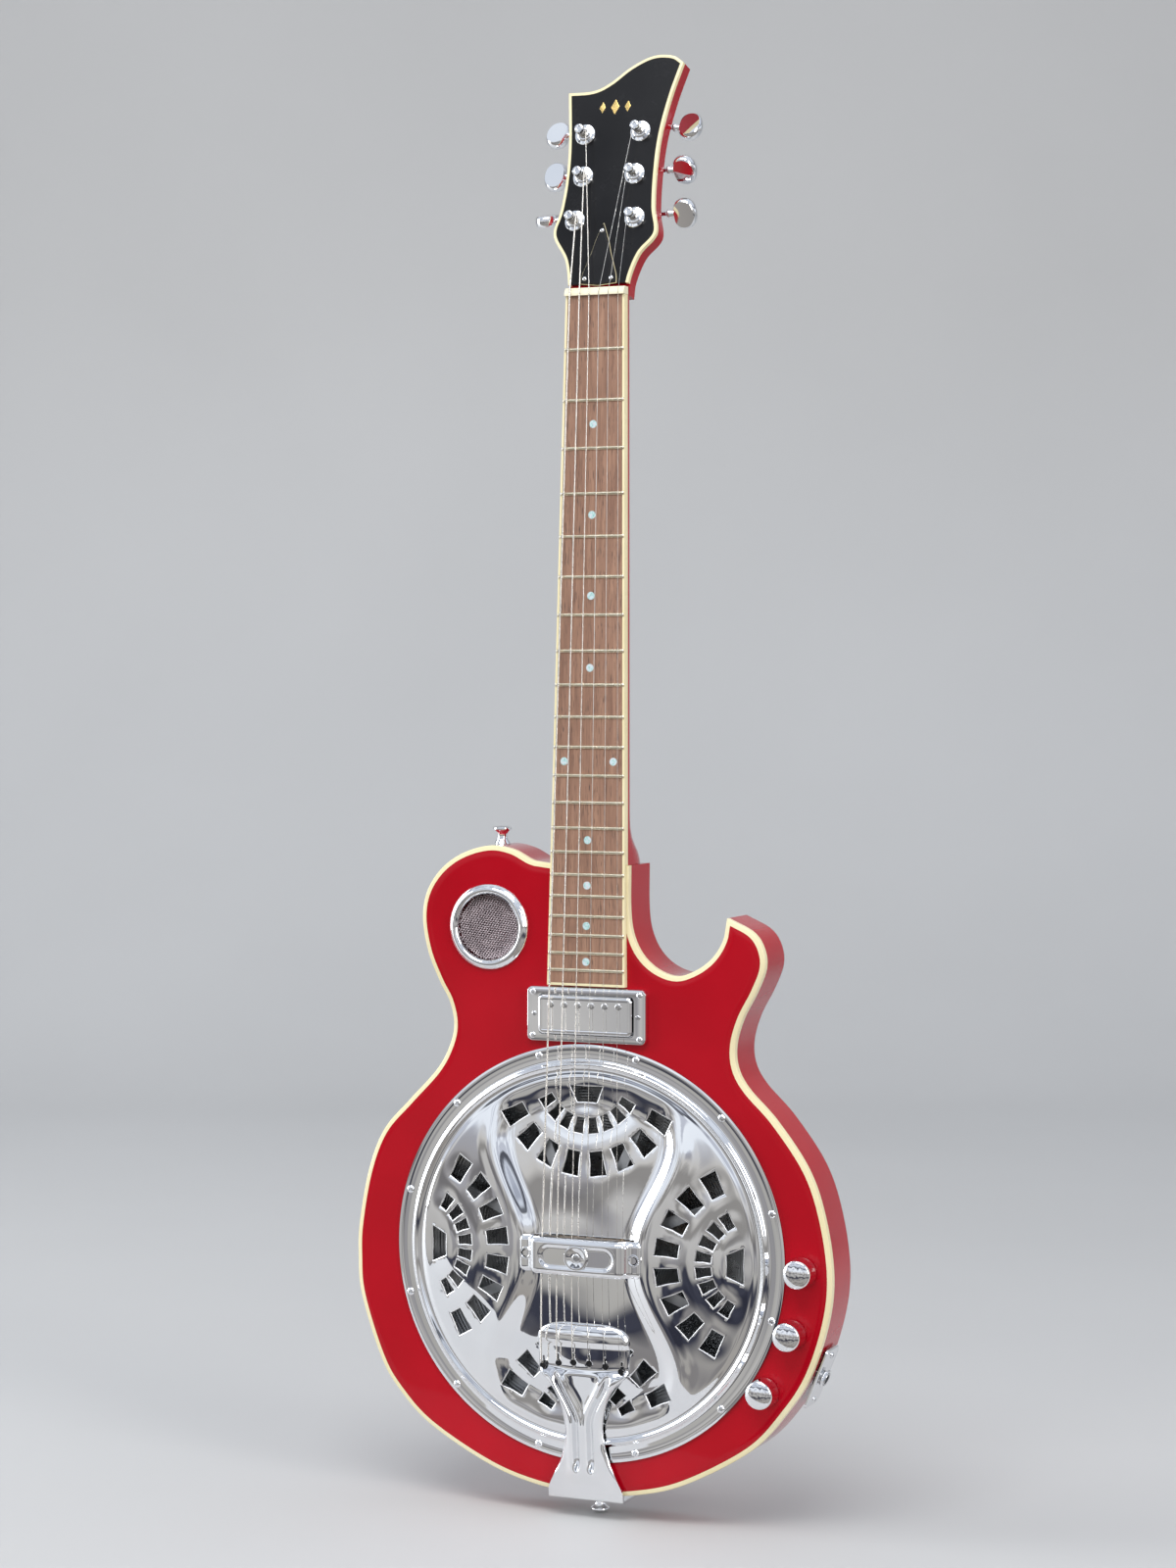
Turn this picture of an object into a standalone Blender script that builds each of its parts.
"""Resonator guitar: cutaway wooden body, spun cone under a pressed coverplate, bound neck, worm tuners.

Frame: metres, +Z up the neck, +X to the viewer's right, +Y into the guitar. The origin lies on the
back plate's flat outer face, on the axis of the cone, so the front of the top is at y = -BODY_DEPTH.
Shapes are drawn in millimetres, as seen from the front, and placed by the functions below.
"""
import math

import bmesh
import bpy
from mathutils import Matrix, Vector

MM = 0.001
GAP = 0.3                     # clearance between touching pieces

# Body
BODY_DEPTH = 43.0
PLATE = 4.0                   # thickness of the top and of the back
SIDE_WALL = 8.0
BINDING_WIDTH = 3.2
BINDING_HEIGHT = 6.0
OUTLINE_STEP = 12.5
NECK_JOINT_Z = 256.0

# Strings and neck
SCALE_LENGTH = 628.65
FRET_COUNT = 21
FRET_PLANE_AT_SADDLE = 11.0   # height of the fret tops above the body top, carried on to the saddle
NECK_LEAN = 0.03015           # the neck leans back this much for each millimetre of its length
FRET_HEIGHT = 1.0
BOARD_THICKNESS = 6.0
BOARD_END_Z = 176.5
BOARD_BINDING = 1.8
NUT_WIDTH = 42.0
BOARD_END_WIDTH = 55.5
NUT_SPREAD = 34.2             # first string to sixth string
SADDLE_SPREAD = 53.5
SADDLE_HEIGHT = 14.0
STRING_GAUGES = (1.17, 0.91, 0.66, 0.43, 0.33, 0.25)

# Headstock
HEAD_TILT = math.radians(13.0)
HEAD_DROP = 5.5               # the face starts this far behind the fret tops
HEAD_THICKNESS = 12.5
FACE_THICKNESS = 3.0
HEAD_BINDING = 2.0
TUNER_STATIONS = ((52.8, 21.3), (83.3, 18.4), (112.8, 19.8))
WORM_ABOVE_POST = 8.0

# Resonator
WELL_RADIUS = 127.0
CONE_RADIUS = 126.5
COVER_RADIUS = 137.9
COVER_CROWN = 13.5
FAN_FOCUS = 118.0
FAN_ROWS = ((33.3, 10, 5.6, 16.4), (58.2, 15.5, 9.5, 17.5))  # distance, length, width, degrees between holes

# Hardware
PICKUP_CENTRE_Z = 157.3
PORT_CENTRE = (-72.0, 213.0)
KNOB_CENTRES = ((149.8, -1.3), (142.8, -42.0), (124.4, -80.8))
SIDE_MIDDLE = -BODY_DEPTH / 2  # the jack and the strap buttons sit half-way down the rim
JACK_CENTRE = (153.8, -72.0)
JACK_OUTWARD = Vector((0.925, -0.38)).normalized()
RIM_RADIUS_AT_JACK = 165.0
TAIL_BUTTON_Z = -163.7
SHOULDER_BUTTON = (-72.0, 267.4)

# The edge of the body from the neck's left side, round the tail, to the horn, then down the cutaway
BODY_EDGE = (
    (-27, 256), (-41, 258), (-55.5, 264.8), (-72, 267), (-92, 261.5), (-108, 250.5), (-118.5, 235),
    (-121.5, 217), (-117.5, 195), (-109, 175.5), (-101.5, 162), (-98.3, 147), (-101.5, 132.5),
    (-111, 116), (-131, 95), (-150.5, 73.5), (-162, 46), (-169, 10), (-170, -13), (-167.5, -40),
    (-153, -81), (-138.5, -103), (-115, -124.5), (-72, -147), (-36, -157.3), (0, -160.5),
    (36, -157), (70, -146.5), (114, -121), (138, -95), (154.5, -69), (166, -34), (169, -3),
    (163.5, 33), (152.5, 63.5), (131, 93.5), (111.5, 113.5), (103.6, 127), (102.5, 142),
    (107.5, 159), (116.5, 176), (122.6, 192), (121, 205), (113.5, 215.3), (96.5, 223.6),
)
CUTAWAY_EDGE = (
    (96.5, 223.6), (94, 210), (87, 198.3), (76, 189.6), (62, 184.8), (48, 188.7), (37, 198),
    (30.3, 211.5), (28, 228), (28, 256),
)
# The headstock's edge from the nut's left end round to its right end, along the tilted face
HEAD_LEFT = (
    (-21.2, 0.6), (-22.2, 10), (-26, 26), (-36, 43.5), (-32.6, 60), (-30.7, 80), (-31, 105), (-34.8, 143),
)
HEAD_TOP = ((-34.8, 143), (-17, 143.3), (-5, 148.3), (9, 158.5), (24, 165), (38, 164.3), (46, 159))
HEAD_RIGHT = (
    (46, 159), (39.5, 136), (34.7, 110), (33.5, 85), (34.5, 60), (37.5, 41.5), (27, 28), (21.5, 12),
    (21, 0.6),
)

front_y = -BODY_DEPTH


# ---------------------------------------------------------------- scene and materials
for old in list(bpy.data.objects):
    bpy.data.objects.remove(old, do_unlink=True)

FINISHES = {
    "red_lacquer": ((0.40, 0.004, 0.010), 0.12, 0.0),
    "cream_binding": ((0.90, 0.83, 0.60), 0.35, 0.0),
    "black_lacquer": ((0.02, 0.02, 0.022), 0.15, 0.0),
    "rosewood": ((0.28, 0.14, 0.09), 0.5, 0.0),
    "pale_wood": ((0.62, 0.42, 0.24), 0.6, 0.0),
    "chrome": ((0.80, 0.81, 0.83), 0.06, 1.0),
    "spun_aluminium": ((0.66, 0.67, 0.68), 0.35, 1.0),
    "cast_aluminium": ((0.55, 0.56, 0.57), 0.5, 1.0),
    "steel": ((0.55, 0.55, 0.56), 0.3, 1.0),
    "bronze_wire": ((0.62, 0.50, 0.36), 0.35, 1.0),
    "bone": ((0.88, 0.85, 0.74), 0.4, 0.0),
    "black_plastic": ((0.03, 0.03, 0.03), 0.3, 0.0),
}


def finish(name):
    """The named material, made the first time it is asked for."""
    if name in bpy.data.materials:
        return bpy.data.materials[name]
    colour, roughness, metallic = FINISHES[name]
    made = bpy.data.materials.new(name)
    made.use_nodes = True
    shader = made.node_tree.nodes["Principled BSDF"]
    shader.inputs["Base Color"].default_value = (*colour, 1.0)
    shader.inputs["Roughness"].default_value = roughness
    shader.inputs["Metallic"].default_value = metallic
    return made


# ---------------------------------------------------------------- places and curves
def at(x, height, z):
    """A place given by millimetres across, in front of the body's top, and up the neck."""
    return Vector((x, front_y - height, z)) * MM


def fret_plane(z):
    return FRET_PLANE_AT_SADDLE - NECK_LEAN * z


def board_half_width(z):
    along = (SCALE_LENGTH - z) / (SCALE_LENGTH - BOARD_END_Z)
    return (NUT_WIDTH + (BOARD_END_WIDTH - NUT_WIDTH) * along) / 2


HEAD_RIGHTWARD = Vector((1, 0, 0))
HEAD_UPWARD = Vector((0, math.sin(HEAD_TILT), math.cos(HEAD_TILT)))
HEAD_OUTWARD = Vector((0, -math.cos(HEAD_TILT), math.sin(HEAD_TILT)))


def on_head(x, height, along):
    """A place given by millimetres across, in front of the headstock's face, and along it."""
    start = at(0, fret_plane(SCALE_LENGTH) - HEAD_DROP, SCALE_LENGTH)
    return start + (HEAD_RIGHTWARD * x + HEAD_OUTWARD * height + HEAD_UPWARD * along) * MM


def curve_through(points, step):
    """Points about one step apart on a Catmull-Rom curve through the given points."""
    knots = [Vector(p) for p in points]
    padded = [2 * knots[0] - knots[1], *knots, 2 * knots[-1] - knots[-2]]
    fine = [knots[0]]
    for a, b, c, d in zip(padded, padded[1:], padded[2:], padded[3:]):
        for i in range(1, 17):
            t = i / 16
            fine.append(0.5 * (2 * b + (c - a) * t + (2 * a - 5 * b + 4 * c - d) * t * t
                               + (3 * b - a - 3 * c + d) * t ** 3))
    run = [0.0]
    for a, b in zip(fine, fine[1:]):
        run.append(run[-1] + (b - a).length)
    count = max(2, round(run[-1] / step))
    out = []
    k = 0
    for i in range(count + 1):
        goal = run[-1] * i / count
        while k < len(run) - 2 and run[k + 1] < goal:
            k += 1
        share = (goal - run[k]) / (run[k + 1] - run[k])
        out.append(tuple(fine[k].lerp(fine[k + 1], share)))
    return out


def inset(path, distance, closed=True):
    """The path moved to its left by the distance, with square mitres."""
    count = len(path)
    moved = []
    for i, point in enumerate(path):
        here = Vector(point)
        before = Vector(path[i - 1]) if closed or i else here
        after = Vector(path[(i + 1) % count]) if closed or i < count - 1 else here
        sides = [(b - a).normalized() for a, b in ((before, here), (here, after)) if (b - a).length > 0]
        normals = [Vector((-s.y, s.x)) for s in sides]
        middle = sum(normals, Vector((0, 0))).normalized()
        moved.append(tuple(here + middle * (distance / middle.dot(normals[0]))))
    return moved


def circle(radius, steps, x=0.0, z=0.0):
    turn = [2 * math.pi * i / steps for i in range(steps)]
    return [(x + radius * math.cos(t), z + radius * math.sin(t)) for t in turn]


def rounded_box(width, height, radius, x=0.0, z=0.0, steps=3):
    """The outline of a rectangle with round corners, counter-clockwise."""
    out = []
    for corner, (sx, sz) in enumerate(((1, 1), (-1, 1), (-1, -1), (1, -1))):
        for i in range(steps + 1):
            t = math.pi / 2 * (corner + i / steps)
            out.append((x + sx * (width / 2 - radius) + radius * math.cos(t),
                        z + sz * (height / 2 - radius) + radius * math.sin(t)))
    return out


# ---------------------------------------------------------------- making solids
def solid(name, vertices, faces, look, smooth_angle=35):
    """An object from places and faces, closed and facing outwards."""
    mesh = bpy.data.meshes.new(name)
    shape = bmesh.new()
    made = [shape.verts.new(v) for v in vertices]
    for face in faces:
        shape.faces.new([made[i] for i in face])
    bmesh.ops.remove_doubles(shape, verts=shape.verts, dist=1e-6)
    bmesh.ops.recalc_face_normals(shape, faces=shape.faces)
    shape.to_mesh(mesh)
    shape.free()
    mesh.shade_smooth()
    mesh.set_sharp_from_angle(angle=math.radians(smooth_angle))
    thing = bpy.data.objects.new(name, mesh)
    bpy.context.collection.objects.link(thing)
    if look:
        mesh.materials.append(finish(look))
    return thing


def lofted(name, rings, look, closed_loop=False):
    """A solid skinned over rings of equal count; a closed loop of rings needs no end caps."""
    count = len(rings[0])
    vertices = [v for ring in rings for v in ring]
    faces = []
    last = len(rings) if closed_loop else len(rings) - 1
    for j in range(last):
        a, b = j * count, (j + 1) % len(rings) * count
        for i in range(count):
            k = (i + 1) % count
            faces.append((a + i, a + k, b + k, b + i))
    if not closed_loop:
        faces.append(tuple(range(count)))
        faces.append(tuple(range((len(rings) - 1) * count, len(rings) * count)))
    return solid(name, vertices, faces, look)


def plate(name, outline, low, high, look, place=at):
    """A flat plate: an outline seen from the front, between two heights."""
    rings = [[place(x, height, z) for x, z in outline] for height in (low, high)]
    return lofted(name, rings, look)


def band(name, path, profile, look, closed=True, place=at):
    """A profile of (inset, height) points carried along a path."""
    runs = [(inset(path, aside, closed), height) for aside, height in profile]
    rings = [[place(*run[i][:1], height, run[i][1]) for run, height in runs] for i in range(len(path))]
    return lofted(name, rings, look, closed_loop=closed)


def turned(name, profile, look, place, steps=24):
    """A profile of (radius, height) points turned about the axis that place gives."""
    vertices = []
    rows = []
    for radius, height in profile:
        if radius == 0:
            rows.append([len(vertices)])
            vertices.append(place(0, height, 0))
            continue
        rows.append(list(range(len(vertices), len(vertices) + steps)))
        vertices += [place(x, height, z) for x, z in circle(radius, steps)]
    faces = []
    pairs = list(zip(rows, rows[1:]))
    if profile[0][0] and profile[-1][0]:
        pairs.append((rows[-1], rows[0]))
    for a, b in pairs:
        if len(a) == len(b) == 1:
            continue
        for i in range(steps):
            k = (i + 1) % steps
            if len(a) == 1:
                faces.append((a[0], b[i], b[k]))
            elif len(b) == 1:
                faces.append((a[i], b[0], a[k]))
            else:
                faces.append((a[i], b[i], b[k], a[k]))
    return solid(name, vertices, faces, look)


def bore(name, radius, low, high, place, steps):
    """A round cutter between two heights."""
    return turned(name, ((0, low), (radius, low), (radius, high), (0, high)), None, place, steps)


def tube(name, path, radius, look, sides=6):
    """A round bar along a path of places, its end faces flat."""
    places = [Vector(p) for p in path]
    rings = []
    for i, here in enumerate(places):
        ahead = (places[min(i + 1, len(places) - 1)] - places[max(i - 1, 0)]).normalized()
        across = Vector((0, -1, 0)).cross(ahead).normalized()
        upward = ahead.cross(across)
        rings.append([here + (across * x + upward * z) * MM for x, z in circle(radius, sides)])
    return lofted(name, rings, look)


def shifted(x, height, z, place=at):
    """The same placing function, with its zero moved."""
    def moved(dx, dheight, dz):
        return place(x + dx, height + dheight, z + dz)
    return moved


def cut(thing, cutter, operation="DIFFERENCE"):
    """Cuts one solid by another, or joins them, by a Boolean modifier."""
    cutter.hide_render = True
    cutter.display_type = "WIRE"
    modifier = thing.modifiers.new(cutter.name, "BOOLEAN")
    modifier.operation = operation
    modifier.solver = "EXACT"
    modifier.object = cutter


# ---------------------------------------------------------------- body
def body_outline():
    main = curve_through(BODY_EDGE, OUTLINE_STEP)
    cutaway = curve_through(CUTAWAY_EDGE, OUTLINE_STEP)
    return main + cutaway[1:]


def make_body():
    edge = body_outline()
    depth = BODY_DEPTH
    under_binding = -BINDING_HEIGHT - GAP
    rim = band("body_rim", edge, (
        (0, under_binding), (0, -depth + 6), (0.4, -depth + PLATE + GAP), (SIDE_WALL, -depth + PLATE + GAP),
        (SIDE_WALL, -PLATE - GAP), (BINDING_WIDTH + GAP, -PLATE - GAP), (BINDING_WIDTH + GAP, under_binding),
    ), "red_lacquer")
    cut(rim, bore("jack_hole", 6.5, -12, 12, out_of_the_rim, 16))
    band("top_binding", edge, (
        (0, 0), (BINDING_WIDTH, 0), (BINDING_WIDTH, -BINDING_HEIGHT), (0, -BINDING_HEIGHT)), "cream_binding")
    back_rings = [[at(x, height, z) for x, z in inset(edge, aside)] for aside, height in (
        (0.45, -depth + PLATE), (1.9, -depth + 1.6), (6, -depth))]
    lofted("body_back", back_rings, "red_lacquer")

    top = plate("body_top", inset(edge, BINDING_WIDTH + GAP), -PLATE, 0, "red_lacquer")
    cut(top, plate("well_hole", circle(WELL_RADIUS, 48), -6, 2, None))
    cut(top, plate("pickup_hole", rounded_box(71, 29, 3, z=PICKUP_CENTRE_Z), -6, 2, None))
    cut(top, plate("port_hole", circle(24.3, 24, *PORT_CENTRE), -6, 2, None))
    for i, (x, z) in enumerate(KNOB_CENTRES):
        cut(top, plate(f"knob_hole_{i + 1}", circle(4, 12, x, z), -6, 2, None))
    plate("neck_block", ((-30, 182), (30, 182), (18.5, 206), (18.5, 246), (-30, 246)),
          -depth + PLATE + GAP, -PLATE - GAP, "pale_wood")
    plate("tail_block", ((-30, -148), (-20, -150.2), (20, -150.2), (30, -148), (26, -134), (-26, -134)),
          -depth + PLATE + GAP, -PLATE - GAP, "pale_wood")


# ---------------------------------------------------------------- neck
def head_outline():
    left = curve_through(HEAD_LEFT, 7)
    top = curve_through(HEAD_TOP, 8)
    right = curve_through(HEAD_RIGHT, 7)
    return left + top[1:] + right[1:]


def neck_ring(z, half_width, top, depth, fullness=2.2, count=14):
    """One cross-section of the neck: flat in front, round behind."""
    ring = []
    for i in range(count + 1):
        t = math.pi * i / count
        c, s = math.cos(t), math.sin(t)
        x = half_width * math.copysign(abs(c) ** (2 / fullness), c)
        ring.append(at(x, top - depth * abs(s) ** (2 / fullness), z))
    return ring


def make_neck():
    under_board = FRET_HEIGHT + BOARD_THICKNESS + GAP
    rings = []
    heel_and_shaft = (
        (NECK_JOINT_Z + GAP, 37.5, 3.4), (262, 35.5, 3.2), (268, 30, 2.8), (274, 23.5, 2.4), (281, 19, 2.2),
        (292, 17.2, 2.2), (400, 16.2, 2.2), (520, 15, 2.2), (612, 14, 2.2), (628, 14, 2.2),
    )
    for z, depth, fullness in heel_and_shaft:
        rings.append(neck_ring(z, board_half_width(z), fret_plane(z) - under_board, depth, fullness))
    rings.append(neck_ring(634.4, 20.5, fret_plane(634) - under_board, 13.6))
    rings.append(neck_ring(635.2, 20.5, -19.8, 9.2))
    rings.append(neck_ring(652, 15, -22, 6))
    neck = lofted("neck", rings, "red_lacquer")
    outline = head_outline()
    head = plate("head_blank", outline, -HEAD_THICKNESS, -FACE_THICKNESS - GAP, "red_lacquer", place=on_head)
    cut(neck, head, "UNION")
    rod_groove = tube("rod_groove", (rod_place(262), rod_place(640)), 3.2, None, sides=8)
    rod_slot = lofted("rod_slot", [[rod_place(z) + Vector((x, y, 0)) * MM for x, y in
                                    ((-3, 0), (3, 0), (3, -9), (-3, -9))] for z in (262, 640)], None)
    cut(neck, rod_slot)
    cut(neck, rod_groove)
    pocket = plate("rod_pocket", rounded_box(11, 22, 3, z=18.5), -11, 3, None, place=on_head)
    cut(neck, pocket)

    face_edge = head_outline()
    face_edge = [p for p in face_edge if p[1] > 7.5]
    face = plate("headstock_face", inset(face_edge, -HEAD_BINDING - GAP, closed=False), -FACE_THICKNESS, 0,
                 "black_lacquer", place=on_head)
    cut(face, pocket)
    band("headstock_binding", face_edge, ((0, 0), (-HEAD_BINDING, 0), (-HEAD_BINDING, -FACE_THICKNESS),
         (0, -FACE_THICKNESS)), "cream_binding", closed=False, place=on_head)
    for side in (-1, 1):
        for i, (along, aside) in enumerate(TUNER_STATIONS):
            word = "left" if side < 0 else "right"
            here = shifted(side * aside, 0, along, on_head)
            hole = bore(f"post_hole_{word}_{i + 1}", 4.4, -20, 4, here, 12)
            cut(neck, hole)
            cut(face, hole)

    cover_edge = ((-12.6, 8), (12.6, 8), (11.2, 17), (6.5, 31), (4.2, 43), (0, 50), (-4.2, 43), (-6.5, 31),
                  (-11.2, 17))
    plate("truss_rod_cover", cover_edge, GAP, 2.3, "black_plastic", place=on_head)
    rod = [rod_place(z) for z in (266, 638)]
    shank = tube("truss_rod", rod, 2.4, "steel", sides=10)
    rod_nut = tube("rod_nut", (rod_place(637), rod_place(648)), 3.2, None, sides=6)
    cut(shank, rod_nut, "UNION")


def rod_place(z):
    """The truss rod's axis, 5.5 mm under the face that the fretboard is glued to."""
    return at(0, fret_plane(z) - FRET_HEIGHT - BOARD_THICKNESS - GAP - 5.5, z)


def fret_z(number):
    return SCALE_LENGTH * 2 ** (-number / 12)


def make_fretboard():
    strip = BOARD_BINDING
    top_of_body = GAP
    joint = NECK_JOINT_Z + 0.2

    def side_profile(inner, outer, name, look, z_low, z_high):
        """A long strip whose underside steps down where the neck meets the body."""
        outline = [(z_low, top_of_body), (joint, top_of_body),
                   (joint, fret_plane(joint) - FRET_HEIGHT - BOARD_THICKNESS),
                   (z_high, fret_plane(z_high) - FRET_HEIGHT - BOARD_THICKNESS),
                   (z_high, fret_plane(z_high) - FRET_HEIGHT), (z_low, fret_plane(z_low) - FRET_HEIGHT)]
        rings = [[at(edge(z), height, z) for z, height in outline] for edge in (inner, outer)]
        return lofted(name, rings, look)

    def inner_right(z):
        return board_half_width(z) - strip - 0.15

    board = side_profile(lambda z: -inner_right(z), inner_right, "fretboard", "rosewood",
                         BOARD_END_Z + strip + 0.3, SCALE_LENGTH)
    for number in range(1, FRET_COUNT + 1):
        z = fret_z(number)
        half = inner_right(z) - 0.2
        low, high = fret_plane(z) - FRET_HEIGHT - 0.5, fret_plane(z)
        rings = [[at(x, low, z - 1.2), at(x, high - 0.3, z - 1.1), at(x, high, z - 0.4), at(x, high, z + 0.4),
                  at(x, high - 0.3, z + 1.1), at(x, low, z + 1.2)] for x in (-half, half)]
        fret = lofted(f"fret_{number:02d}", rings, None)
        cut(board, fret, "UNION")
    bar = side_profile(lambda z: -board_half_width(z), board_half_width, "fretboard_binding", "cream_binding",
                       BOARD_END_Z, SCALE_LENGTH)
    hollow = lofted("board_space", [[at(x * (inner_right(z) + 0.15), height, z) for x, height in
                                     ((-1, -30), (1, -30), (1, 30), (-1, 30))]
                                    for z in (BOARD_END_Z + strip, SCALE_LENGTH + 20)], None)
    cut(bar, hollow)

    nut_low = fret_plane(SCALE_LENGTH) - FRET_HEIGHT - BOARD_THICKNESS
    nut_high = fret_plane(SCALE_LENGTH) + 0.6
    start = SCALE_LENGTH + GAP
    end = start + 4.9
    nut_side = ((start, nut_low), (end, nut_low), (end, nut_high - 1.8), (start + 0.6, nut_high),
                (start, nut_high))
    lofted("nut", [[at(x, height, z) for z, height in nut_side] for x in (-21, 21)], "bone")


# ---------------------------------------------------------------- resonator
def valley_half_width(z):
    """The pressed valley under the strings is an hourglass, narrowest beside the hand rest."""
    return 43 + 26 * (max(abs(z) - 18, 0) / 82) ** 1.2


def cover_height(x, z):
    """Height of the coverplate's outer face at a point."""
    radius = math.hypot(x, z)
    dome = COVER_CROWN - 5.6e-4 * radius * radius
    ridge = valley_half_width(z)
    inside = min(max((ridge - abs(x)) / 8, 0), 1)
    fade = max(1 - (radius / 116) ** 4, 0)
    valley = 3.2 * fade * inside * inside * (3 - 2 * inside)
    edge = min(max((120.5 - radius) / 4, 0), 1)
    return 1.3 + (dome - valley - 1.3) * edge * edge * (3 - 2 * edge)


def make_coverplate():
    steps = 48
    radii = (COVER_RADIUS, 121, 117.5, 108, 90, 70, 50, 30)
    thickness = 1.0
    outer = [[at(x, cover_height(x, z), z) for x, z in circle(r, steps)] for r in radii]
    inner = [[at(x, cover_height(x, z) - thickness, z) for x, z in circle(r, steps)] for r in radii]
    cover = lofted("coverplate", outer[::-1] + inner, "chrome")

    holes_vertices = []
    holes_faces = []

    def add_hole(corners):
        first = len(holes_vertices)
        holes_vertices.extend(at(x, -2, z) for x, z in corners)
        holes_vertices.extend(at(x, 20, z) for x, z in corners)
        holes_faces.append((first, first + 1, first + 2, first + 3))
        holes_faces.append((first + 4, first + 5, first + 6, first + 7))
        for i in range(4):
            k = (i + 1) % 4
            holes_faces.append((first + i, first + k, first + 4 + k, first + 4 + i))

    for quarter in range(4):
        turn = Matrix.Rotation(math.pi / 2 * quarter, 2)
        focus = turn @ Vector((FAN_FOCUS, 0))

        def spot(distance, aside, angle):
            way = Vector((-math.cos(angle), math.sin(angle)))
            side = Vector((math.sin(angle), math.cos(angle)))
            return tuple(focus + turn @ (way * distance + side * aside))

        for middle, length, width, spread in FAN_ROWS:
            for i in range(8):
                angle = math.radians((i - 3.5) * spread)
                add_hole([spot(middle + sx * length / 2, sy * width / 2, angle)
                          for sx, sy in ((-1, -1), (1, -1), (1, 1), (-1, 1))])
        add_hole([spot(6.7, -12.5, 0), spot(18.4, -7.6, 0), spot(18.4, 7.6, 0), spot(6.7, 12.5, 0)])
    cut(cover, solid("fan_holes", holes_vertices, holes_faces, None))
    cut(cover, plate("saddle_opening", rounded_box(66, 22, 4), -2, 20, None))


def make_resonator():
    depth = BODY_DEPTH
    turned("sound_well", ((132, -PLATE - GAP), (132, -depth + PLATE + GAP), (119, -depth + PLATE + GAP),
                          (119, -6), (127, -6), (127, -PLATE - GAP)), "pale_wood", at, steps=40)
    turned("resonator_cone", (
        (CONE_RADIUS, -4.9), (118, -4.9), (113, -7.5), (40, -27), (30, -27.6), (14, -20), (0, -18.5),
        (0, -19.3), (14, -20.8), (30, -28.4), (40, -27.9), (113, -8.5), (118, -5.7), (CONE_RADIUS, -5.7),
    ), "spun_aluminium", at, steps=40)

    legs = 8
    vertices = []
    faces = []
    for base in (0, 1):
        for leg in range(legs):
            turn = 2 * math.pi * (leg + 0.5) / legs
            for radius, aside in ((14, -5.0), (117, -2.0), (117, 2.0), (14, 5.0)):
                x = radius * math.cos(turn) - aside * math.sin(turn)
                z = radius * math.sin(turn) + aside * math.cos(turn)
                height = 4 - 6.5 * (radius - 14) / 103 if base == 0 else 1 - 5.5 * (radius - 14) / 103
                vertices.append(at(x, height, z))
    count = 4 * legs
    for leg in range(legs):
        a = 4 * leg
        b = (a + 4) % count
        faces.append((a, a + 1, a + 2, a + 3))
        faces.append((count + a, count + a + 3, count + a + 2, count + a + 1))
        for i, k in ((a, a + 1), (a + 1, a + 2), (a + 2, a + 3), (a + 3, b)):
            faces.append((i, count + i, count + k, k))
    hub = [i for leg in range(legs) for i in (4 * leg, 4 * leg + 3)]
    faces.append(tuple(hub))
    faces.append(tuple(count + i for i in hub))
    spider = solid("spider", vertices, faces, "cast_aluminium")
    cut(spider, bore("spider_bore", 2.2, -6, 8, at, 12))
    turned("spider_screw", ((0, -18.2), (1.8, -18.2), (1.8, 4.3), (3.4, 4.3), (3.4, 6), (0, 6)), "steel", at,
           steps=12)
    saddle_edge = ((-29, 4.3), (-5, 4.3), (-5, 8), (5, 8), (5, 4.3), (29, 4.3), (29, 12), (26, SADDLE_HEIGHT),
                   (-26, SADDLE_HEIGHT), (-29, 12))
    lofted("saddle", [[at(x, height, z) for x, height in saddle_edge] for z in (-1.8, 1.8)], "pale_wood")

    arch = ((-43, 12.9), (-42.2, 16), (-39, 18.8), (-33, 20.2), (-20, 20.9), (0, 21.1))
    arch = arch + tuple((-x, height) for x, height in arch[-2::-1])
    rings = []
    for x, height in arch:
        inner_x = x * 0.972
        inner = min(height, 20.9) - 1.2 if abs(x) < 42.9 else height
        rings.append([at(x, height, -12), at(x, height, 12), at(inner_x, inner, 12), at(inner_x, inner, -12)])
    lofted("hand_rest", rings, "chrome")
    make_coverplate()


# ---------------------------------------------------------------- strings and tuners
def string_x(number, z):
    """Where a string runs across the guitar; number 6 is the thickest, on the left."""
    share = (3.5 - number) / 5
    return share * (SADDLE_SPREAD + (NUT_SPREAD - SADDLE_SPREAD) * z / SCALE_LENGTH)


def make_strings():
    nut_top = fret_plane(SCALE_LENGTH) + 0.6 + GAP
    for number in range(1, 7):
        radius = STRING_GAUGES[6 - number] / 2
        side = -1 if number > 3 else 1
        along, aside = TUNER_STATIONS[number - 1 if side > 0 else 6 - number]
        x_nut = string_x(number, SCALE_LENGTH)
        post_x = side * (aside - 3.0 - radius - GAP)
        path = (
            at(string_x(number, -71), 12.6 + radius, -71),
            at(string_x(number, -52), 13.6 + radius, -52),
            at(string_x(number, 0), SADDLE_HEIGHT + GAP + radius, 0),
            at(x_nut, nut_top + radius, SCALE_LENGTH + 0.4),
            on_head(post_x, 7, along),
        )
        tube(f"string_{number}", path, radius, "bronze_wire" if number > 3 else "steel")


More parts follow.
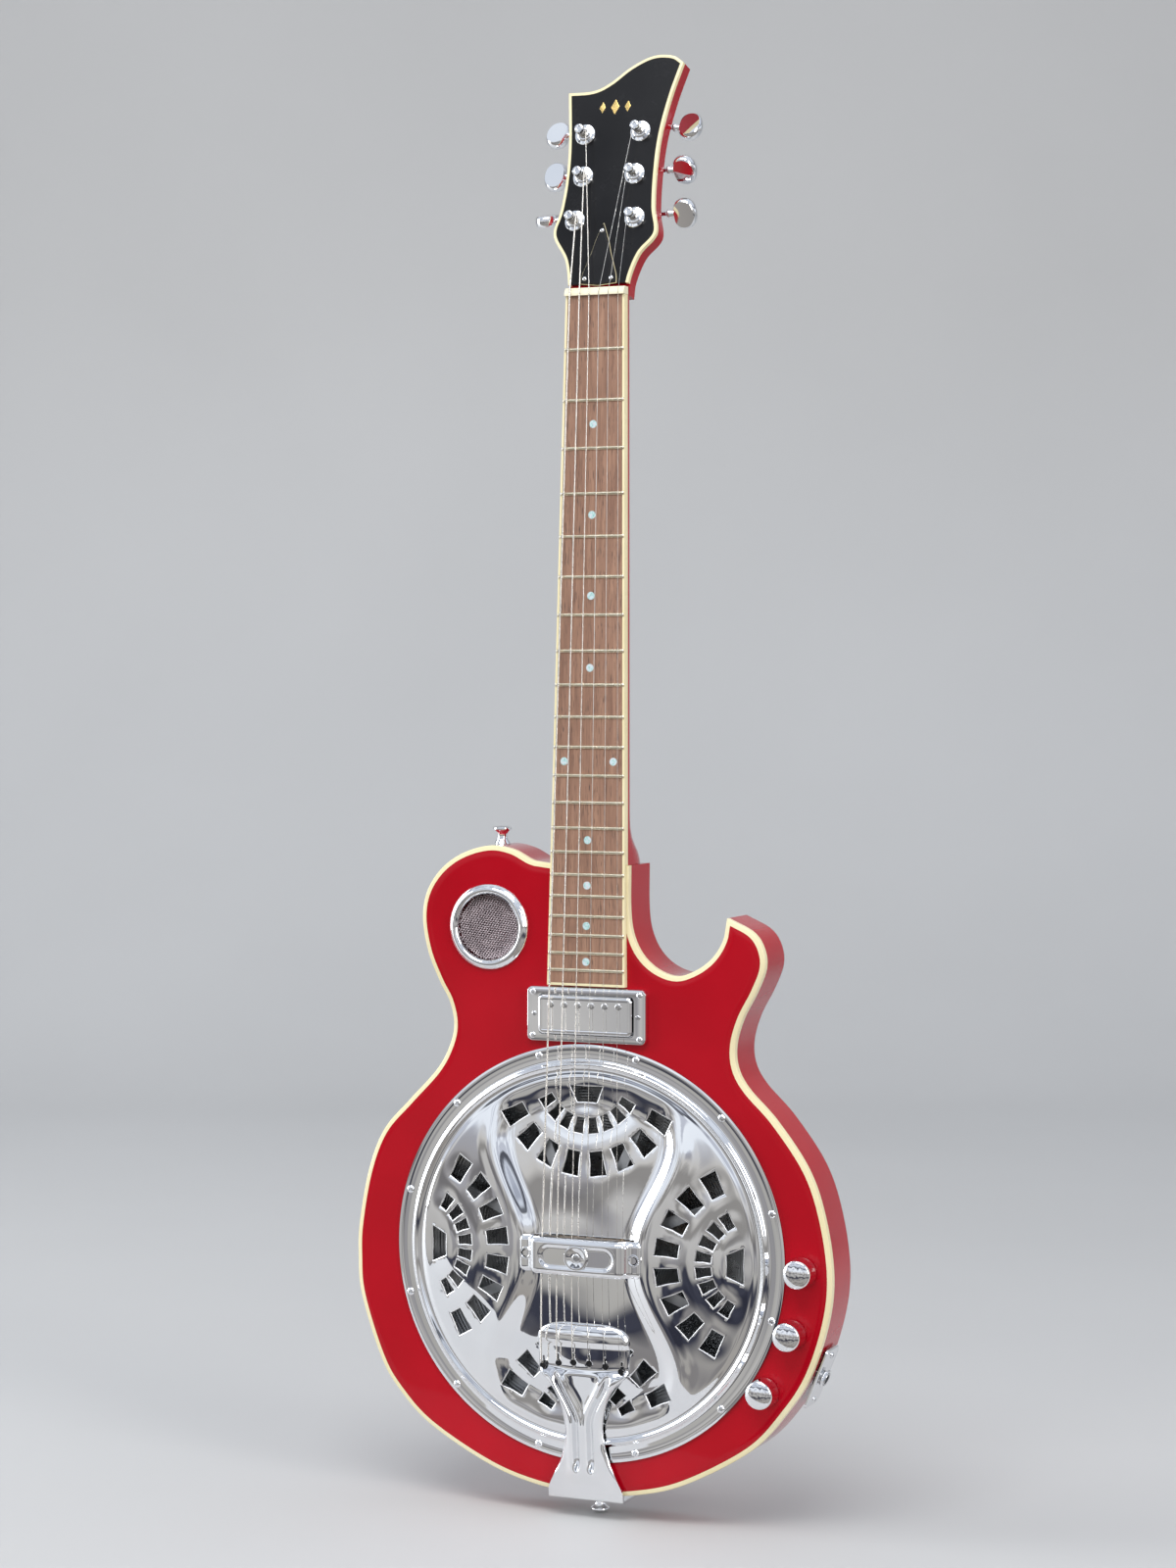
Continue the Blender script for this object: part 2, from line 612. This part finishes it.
def make_tuner(label, side, along, aside):
    """One tuner: a cased gear on the post, and the worm that the button turns."""
    back = -HEAD_THICKNESS - GAP
    worm_along = along + WORM_ABOVE_POST
    axis = back - 5.2
    middle = shifted(side * aside, 0, along + 3.4, on_head)
    case = plate(f"tuner_housing_{label}", rounded_box(16, 21, 2), back - 9.6, back, "chrome", place=middle)
    hollow = plate(f"case_hollow_{label}", rounded_box(13, 18, 1.5), back - 8.4, back + 2, None, place=middle)
    cut(case, hollow)

    def across(x, height, z):
        """Turns a profile about the worm's axis, which runs to the headstock's side."""
        return on_head(side * (aside + height), axis + x, worm_along + z)

    cut(case, bore(f"shaft_hole_{label}", 2.3, 4, 10, across, 10))
    turned(f"tuner_post_{label}", (
        (0, back - 7.6), (5.4, back - 7.6), (5.4, back - 3.2), (3, back - 3.2), (3, 5.8), (2.5, 7), (3, 8.4),
        (3.1, 11.4), (2.6, 12), (0, 12)), "chrome", shifted(side * aside, 0, along, on_head), steps=14)
    button = turned(f"tuner_button_{label}", (
        (0, -5.6), (2.2, -5.6), (2.2, 5.6), (1.8, 5.7), (1.8, 15), (3.4, 16), (3.4, 20), (0, 20)), "chrome",
        across, steps=10)
    grip_rings = []
    for x, share in ((-3.6, 0.72), (-2.2, 0.96), (2.2, 0.96), (3.6, 0.72)):
        grip_rings.append([across(x, 27.7 + 8.4 * share * c, 10.9 * share * s) for c, s in circle(1, 14)])
    cut(button, lofted(f"grip_{label}", grip_rings, None), "UNION")


def make_tuners():
    for side, word in ((-1, "left"), (1, "right")):
        for i, (along, aside) in enumerate(TUNER_STATIONS):
            make_tuner(f"{word}_{i + 1}", side, along, aside)


# ---------------------------------------------------------------- hardware
def out_of_the_rim(x, height, z):
    """A place about the jack: height is along the rim's outward direction, and x runs to the front."""
    sideways = Vector((-JACK_OUTWARD.y, JACK_OUTWARD.x))
    spot = Vector(JACK_CENTRE) + JACK_OUTWARD * height + sideways * z
    return at(spot.x, SIDE_MIDDLE + x, spot.y)


def make_jack():
    half_width, half_length, inner, outer = 12, 21, 1.9, 3.4
    rings = []
    for step in range(-3, 4):
        z = half_length * step / 3
        sag = -z * z / (2 * RIM_RADIUS_AT_JACK)
        rings.append([out_of_the_rim(x, sag + height, z) for x, height in (
            (-half_width, inner), (half_width, inner), (half_width, outer), (-half_width, outer))])
    jack_plate = lofted("jack_plate", rings, "chrome")
    cut(jack_plate, bore("plate_hole", 5, 0, 6, out_of_the_rim, 16))
    turned("jack_socket", ((3.2, 5.4), (4.6, 5.4), (4.6, -14), (5.6, -14.4), (5.6, -24), (0, -24), (0, -22.5),
                           (3.2, -22.5)), "steel", out_of_the_rim, steps=16)


def make_electrics():
    outer = rounded_box(85, 36.5, 4, z=PICKUP_CENTRE_Z)
    ring = plate("pickup_ring", outer, GAP, 4.2, "chrome")
    cut(ring, plate("ring_opening", rounded_box(68, 27, 3, z=PICKUP_CENTRE_Z), -2, 8, None))
    cover_edge = rounded_box(66.4, 25.4, 3, z=PICKUP_CENTRE_Z)
    cover = [[at(x, height, z) for x, z in inset(cover_edge, aside)]
             for aside, height in ((0, -16), (0, 6), (1, 7))]
    lofted("pickup", cover, "chrome")
    for i, (x, z) in enumerate(KNOB_CENTRES):
        here = shifted(x, 0, z)
        turned(f"knob_{i + 1}", (
            (0, -11), (3, -11), (3, 0.8), (9.6, 0.8), (9.7, 2), (9.3, 11.5), (8, 14.4), (4, 16), (0, 16.3)),
            "chrome", here, steps=20)
        turned(f"pot_{i + 1}", (
            (3.4, -4.4), (8.2, -4.4), (8.2, -15), (0, -15), (0, -12), (3.4, -12)), "steel", here, steps=16)
    port = shifted(PORT_CENTRE[0], 0, PORT_CENTRE[1])
    turned("port_ring", (
        (22, -4.5), (22, 2.4), (23, 3.1), (25, 3.3), (27.5, 2.2), (28.5, GAP), (24, GAP), (24, -4.5)),
        "chrome", port, steps=32)
    turned("port_mesh", ((0, -1.6), (21.7, -1.6), (21.7, -0.6), (0, -0.6)), "steel", port, steps=24)


def make_tailpiece():
    """A pressed plate: a wide apron that the strings run over, a waist, and a foot bent down the tail."""
    stations = (
        (-46, 24, 12.0), (-48, 29, 12.5), (-52, 32, 12.9), (-62, 32.7, 12.5), (-74, 32.4, 11.6),
        (-80, 31, 11), (-86, 25, 10.3), (-96, 18, 9.4), (-114, 13.8, 8), (-128, 15.5, 6.6), (-142, 20.5, 5),
        (-154, 26.3, 3.4), (-162, 26.6, 2.6),
    )
    thickness = 1.6
    foot = 26.6
    inner_z, outer_z = -161.6, -163.4
    rings = []
    for z, half, height in stations:
        rings.append([at(x, level, z) for x, level in (
            (-half, height - thickness), (half, height - thickness), (half, height), (-half, height))])
    for inner_height, outer_height in ((0.6, 1.4), (-32, -32)):
        rings.append([at(-foot, inner_height, inner_z), at(foot, inner_height, inner_z),
                      at(foot, outer_height, outer_z), at(-foot, outer_height, outer_z)])
    lofted("tailpiece", rings, "chrome")

    def tail(x, height, z):
        return at(x, SIDE_MIDDLE + z, TAIL_BUTTON_Z - height)

    def shoulder(x, height, z):
        return at(SHOULDER_BUTTON[0] + x, SIDE_MIDDLE + z, SHOULDER_BUTTON[1] + height)

    for name, place in (("tail_strap_button", tail), ("shoulder_strap_button", shoulder)):
        turned(name, (
            (0, 0), (5.2, 0), (3.6, 3), (3.4, 6), (5, 8.4), (6.5, 9.4), (6.5, 10.8), (4.5, 11.8), (0, 12)),
            "chrome", place, steps=18)


make_body()
make_neck()
make_fretboard()
make_resonator()
make_strings()
make_tuners()
make_jack()
make_electrics()
make_tailpiece()
